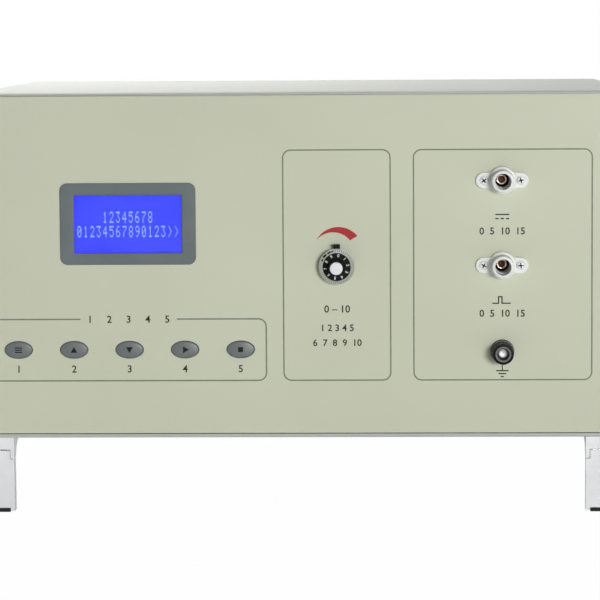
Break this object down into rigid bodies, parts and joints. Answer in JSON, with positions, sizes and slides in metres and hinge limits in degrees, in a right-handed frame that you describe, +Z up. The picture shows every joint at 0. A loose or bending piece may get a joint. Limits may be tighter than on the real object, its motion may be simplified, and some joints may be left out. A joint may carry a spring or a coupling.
{
  "type": "impulse voltage tester",
  "caption": "Bench impulse voltage tester with a blue display, oval keys, a ten-turn voltage dial, high-voltage output sockets, a ground post and fold-out legs.",
  "frame": {"origin": "on the floor under the middle of the overall box", "axes": "+X to the instrument's right as seen from the front, +Y from front to back, +Z up"},
  "size_m": [0.4336, 0.3962, 0.2715],
  "materials": {
    "case_paint": "fine-textured powder coat",
    "frame_paint": "satin paint",
    "panel_metal": "milled",
    "panel_print": "fine matt film with printed lines",
    "bezel_plastic": "satin moulded",
    "window_clear": "clear",
    "module_steel": "blackened",
    "display_blue": "lit",
    "board_green": "solder mask",
    "key_plastic": "satin moulded",
    "switch_plastic": "moulded",
    "dial_black": "semi-gloss",
    "dial_silver": "turned and knurled",
    "cap_white": "semi-gloss",
    "pot_blue": "moulded",
    "bright_steel": "zinc plated",
    "socket_white": "semi-gloss",
    "contact_brass": "aged",
    "post_black": "semi-gloss",
    "foot_plastic": "fine-textured moulded",
    "pad_rubber": "matt",
    "fan_black": "moulded",
    "inlet_black": "moulded",
    "rocker_red": "moulded",
    "core_iron": "varnished laminations",
    "potting_black": "potting resin",
    "can_aluminium": "drawn can"
  },
  "bodies": {
    "case": {"bottom_pan": "case_paint", "top_cover": "case_paint", "back_panel": "case_paint", "front_frame": "frame_paint", "front_panel": "panel_metal", "front_film": "panel_print", "display_bezel": "bezel_plastic", "display_window": "window_clear", "lcd_frame": "module_steel", "lcd_glass": "display_blue", "lcd_board": "board_green", "key_switches": "switch_plastic", "key_board": "board_green", "dial_base": "dial_black", "pot_body": "pot_blue", "panel_nuts": "bright_steel", "dc_socket_body": "socket_white", "dc_socket_contact": "contact_brass", "pulse_socket_body": "socket_white", "pulse_socket_contact": "contact_brass", "socket_screws": "bright_steel", "post_collar": "post_black", "post_stud": "bright_steel", "foot_base_fl": "foot_plastic", "foot_base_fr": "foot_plastic", "foot_base_bl": "foot_plastic", "foot_base_br": "foot_plastic", "leg_pins": "bright_steel", "fan_frame": "fan_black", "fan_guard": "bright_steel", "power_inlet": "inlet_black", "power_switch": "inlet_black", "mains_transformer": "core_iron", "hv_transformer": "potting_black", "storage_capacitor": "can_aluminium", "circuit_boards": "board_green", "case_screws": "bright_steel"},
    "key_1": {"key_1": "key_plastic"},
    "key_2": {"key_2": "key_plastic"},
    "key_3": {"key_3": "key_plastic"},
    "key_4": {"key_4": "key_plastic"},
    "key_5": {"key_5": "key_plastic"},
    "dial": {"dial_knob": "dial_silver", "dial_cap": "cap_white", "pot_shaft": "bright_steel"},
    "turns_disc": {"dial_turns_disc": "dial_black"},
    "lock_lever": {"dial_lock_lever": "dial_black"},
    "post_washer": {"post_washer": "bright_steel"},
    "post_cap": {"post_cap": "post_black"},
    "leg_fl": {"leg_fl": "foot_plastic", "pad_fl": "pad_rubber"},
    "leg_fr": {"leg_fr": "foot_plastic", "pad_fr": "pad_rubber"},
    "leg_bl": {"leg_bl": "foot_plastic", "pad_bl": "pad_rubber"},
    "leg_br": {"leg_br": "foot_plastic", "pad_br": "pad_rubber"},
    "fan": {"fan_rotor": "fan_black"},
    "fuse_drawer": {"fuse_drawer": "inlet_black"},
    "rocker": {"power_rocker": "rocker_red"}
  },
  "joints": [
    {"name": "key_1_press", "type": "slide", "parent": "case", "child": "key_1", "axis": [0, 1, 0], "range_m": [0, 0.001], "stiffness_N_per_m": 1000, "springref_m": -0.0005},
    {"name": "key_2_press", "type": "slide", "parent": "case", "child": "key_2", "axis": [0, 1, 0], "range_m": [0, 0.001], "stiffness_N_per_m": 1000, "springref_m": -0.0005},
    {"name": "key_3_press", "type": "slide", "parent": "case", "child": "key_3", "axis": [0, 1, 0], "range_m": [0, 0.001], "stiffness_N_per_m": 1000, "springref_m": -0.0005},
    {"name": "key_4_press", "type": "slide", "parent": "case", "child": "key_4", "axis": [0, 1, 0], "range_m": [0, 0.001], "stiffness_N_per_m": 1000, "springref_m": -0.0005},
    {"name": "key_5_press", "type": "slide", "parent": "case", "child": "key_5", "axis": [0, 1, 0], "range_m": [0, 0.001], "stiffness_N_per_m": 1000, "springref_m": -0.0005},
    {"name": "dial_turn", "type": "hinge", "parent": "case", "child": "dial", "pos_m": [0.0252, -0.17357, 0.1605], "axis": [0, 1, 0], "range_deg": [0, 3600]},
    {"name": "turns_count", "type": "hinge", "parent": "case", "child": "turns_disc", "pos_m": [0.0252, -0.17357, 0.1605], "axis": [0, 1, 0], "range_deg": [0, 360]},
    {"name": "lock_lever_swing", "type": "hinge", "parent": "case", "child": "lock_lever", "pos_m": [0.0252, -0.17357, 0.1605], "axis": [0, 1, 0], "range_deg": [0, 40]},
    {"name": "post_lift", "type": "slide", "parent": "case", "child": "post_washer", "axis": [0, -1, 0], "range_m": [0, 0.0032]},
    {"name": "post_turn", "type": "hinge", "parent": "post_washer", "child": "post_cap", "pos_m": [0.1311, -0.17357, 0.105], "axis": [0, -1, 0], "range_deg": [0, 1440]},
    {"name": "leg_fl_fold", "type": "hinge", "parent": "case", "child": "leg_fl", "pos_m": [-0.19945, -0.16097, 0.0395], "axis": [1, 0, 0], "range_deg": [0, 90]},
    {"name": "leg_fr_fold", "type": "hinge", "parent": "case", "child": "leg_fr", "pos_m": [0.19945, -0.16097, 0.0395], "axis": [1, 0, 0], "range_deg": [0, 90]},
    {"name": "leg_bl_fold", "type": "hinge", "parent": "case", "child": "leg_bl", "pos_m": [-0.19945, 0.18203, 0.0395], "axis": [-1, 0, 0], "range_deg": [0, 90]},
    {"name": "leg_br_fold", "type": "hinge", "parent": "case", "child": "leg_br", "pos_m": [0.19945, 0.18203, 0.0395], "axis": [-1, 0, 0], "range_deg": [0, 90]},
    {"name": "fan_spin", "type": "hinge", "parent": "case", "child": "fan", "pos_m": [0.112, 0.19103, 0.1675], "axis": [0, 1, 0], "continuous": true},
    {"name": "fuse_drawer_pull", "type": "slide", "parent": "case", "child": "fuse_drawer", "axis": [0, 1, 0], "range_m": [0, 0.018]},
    {"name": "rocker_tip", "type": "hinge", "parent": "case", "child": "rocker", "pos_m": [-0.14, 0.18703, 0.1615], "axis": [-1, 0, 0], "range_deg": [0, 20]}
  ],
  "couplings": [
    {"joint": "turns_count", "follows": "dial_turn", "ratio": 0.1},
    {"joint": "post_turn", "follows": "post_lift", "rad_per_m": 7853.9}
  ]
}
